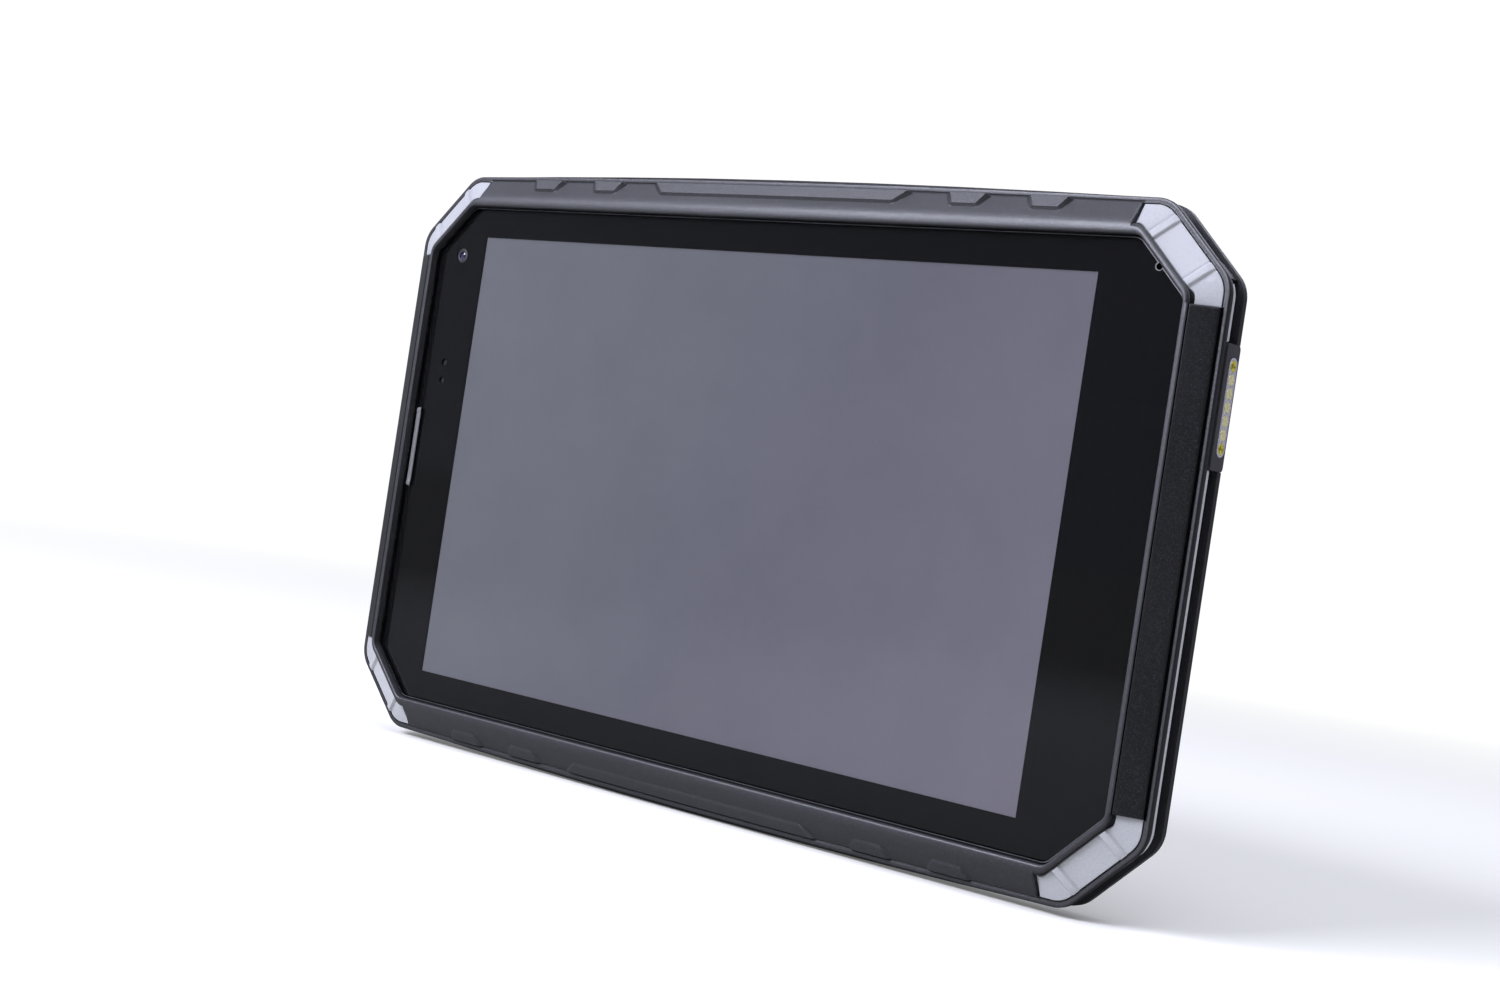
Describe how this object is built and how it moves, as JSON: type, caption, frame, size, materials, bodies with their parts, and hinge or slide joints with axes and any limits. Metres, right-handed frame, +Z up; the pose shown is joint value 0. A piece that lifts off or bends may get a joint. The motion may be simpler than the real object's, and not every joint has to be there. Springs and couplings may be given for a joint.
{
  "type": "rugged tablet data collector",
  "caption": "Rugged handheld tablet data collector with octagonal shock-proof housing, grey corner caps, side dock contacts, edge keys and a hinged interface door.",
  "frame": {"origin": "centre of the bounding box's bottom face, with the device upright on its lower long side", "axes": "+X along the long side to the user's right seen from the front, +Y into the device towards its back (the screen faces -Y), +Z up"},
  "size_m": [0.2238, 0.0144, 0.1411],
  "materials": {
    "battery_film": "foil wrapped",
    "board_green": "solder mask",
    "brass_insert": "turned",
    "camera_glass": "coated",
    "clear_bond": "clear",
    "component_black": "moulded",
    "display": "switched-off display",
    "dock_plastic": "matte",
    "door_rubber": "matte",
    "flex_film": "polyimide",
    "glass_front": "polished, black printed border",
    "gold_contact": "gold plated",
    "grey_elastomer": "soft-touch matte",
    "housing_plastic": "fine metallic-flake texture",
    "key_plastic": "satin",
    "mesh_metal": "satin",
    "nickel_insert": "satin nickel",
    "seal_rubber": "matte",
    "shield_metal": "tinned",
    "smooth_panel": "satin with fine sparkle",
    "steel": "black-passivated"
  },
  "bodies": {
    "housing": {"accessory_inserts": "brass_insert", "antennas": "flex_film", "audio_jack": "component_black", "back_cover": "housing_plastic", "battery_pack": "battery_film", "board_screws": "steel", "card_slot": "shield_metal", "case_inserts": "brass_insert", "case_screws": "steel", "corner_cap_bl": "grey_elastomer", "corner_cap_br": "grey_elastomer", "corner_cap_tl": "grey_elastomer", "corner_cap_tr": "grey_elastomer", "cover_glass": "glass_front", "display_flex": "flex_film", "display_panel": "display", "dock_block": "dock_plastic", "dock_insert": "nickel_insert", "dock_pads": "gold_contact", "dock_sockets": "gold_contact", "earpiece_grille": "mesh_metal", "earpiece_receiver": "component_black", "flash_led": "component_black", "front_camera_lens": "camera_glass", "front_camera_module": "component_black", "front_camera_ring": "mesh_metal", "front_frame": "housing_plastic", "glass_gasket": "seal_rubber", "io_board": "board_green", "io_door_pin": "steel", "io_door_seal": "seal_rubber", "key_seals": "seal_rubber", "key_switches": "component_black", "loudspeaker": "component_black", "main_board": "board_green", "microphone": "component_black", "mid_frame": "housing_plastic", "optical_bond": "clear_bond", "perimeter_seal": "seal_rubber", "power_shield": "shield_metal", "processor_shield": "shield_metal", "proximity_sensor": "component_black", "radio_shield": "shield_metal", "rear_camera_lens": "camera_glass", "rear_camera_module": "component_black", "rear_windows": "camera_glass", "rocker_axle": "steel", "side_panel_left": "smooth_panel", "side_panel_right": "smooth_panel", "speaker_gasket": "seal_rubber", "trim_strip_left": "grey_elastomer", "trim_strip_right": "grey_elastomer", "usb_c_port": "shield_metal", "vibration_motor": "shield_metal"},
    "power_key": {"power_key": "key_plastic"},
    "function_key_1": {"function_key_1": "key_plastic"},
    "function_key_2": {"function_key_2": "key_plastic"},
    "volume_rocker": {"volume_rocker": "key_plastic"},
    "io_door": {"io_door": "door_rubber"}
  },
  "joints": [
    {"name": "power_press", "type": "slide", "parent": "housing", "child": "power_key", "axis": [0, 0, -1], "range_m": [0, 0.00035]},
    {"name": "function_1_press", "type": "slide", "parent": "housing", "child": "function_key_1", "axis": [0, 0, -1], "range_m": [0, 0.00035]},
    {"name": "function_2_press", "type": "slide", "parent": "housing", "child": "function_key_2", "axis": [0, 0, -1], "range_m": [0, 0.00035]},
    {"name": "volume_rock", "type": "hinge", "parent": "housing", "child": "volume_rocker", "pos_m": [-0.015, 0.00025, 0.1385], "axis": [0, 1, 0], "range_deg": [-1.5, 1.5]},
    {"name": "io_door_swing", "type": "hinge", "parent": "housing", "child": "io_door", "pos_m": [-0.1106, 0.002, 0.0705], "axis": [0, 0, -1], "range_deg": [0, 110]}
  ]
}
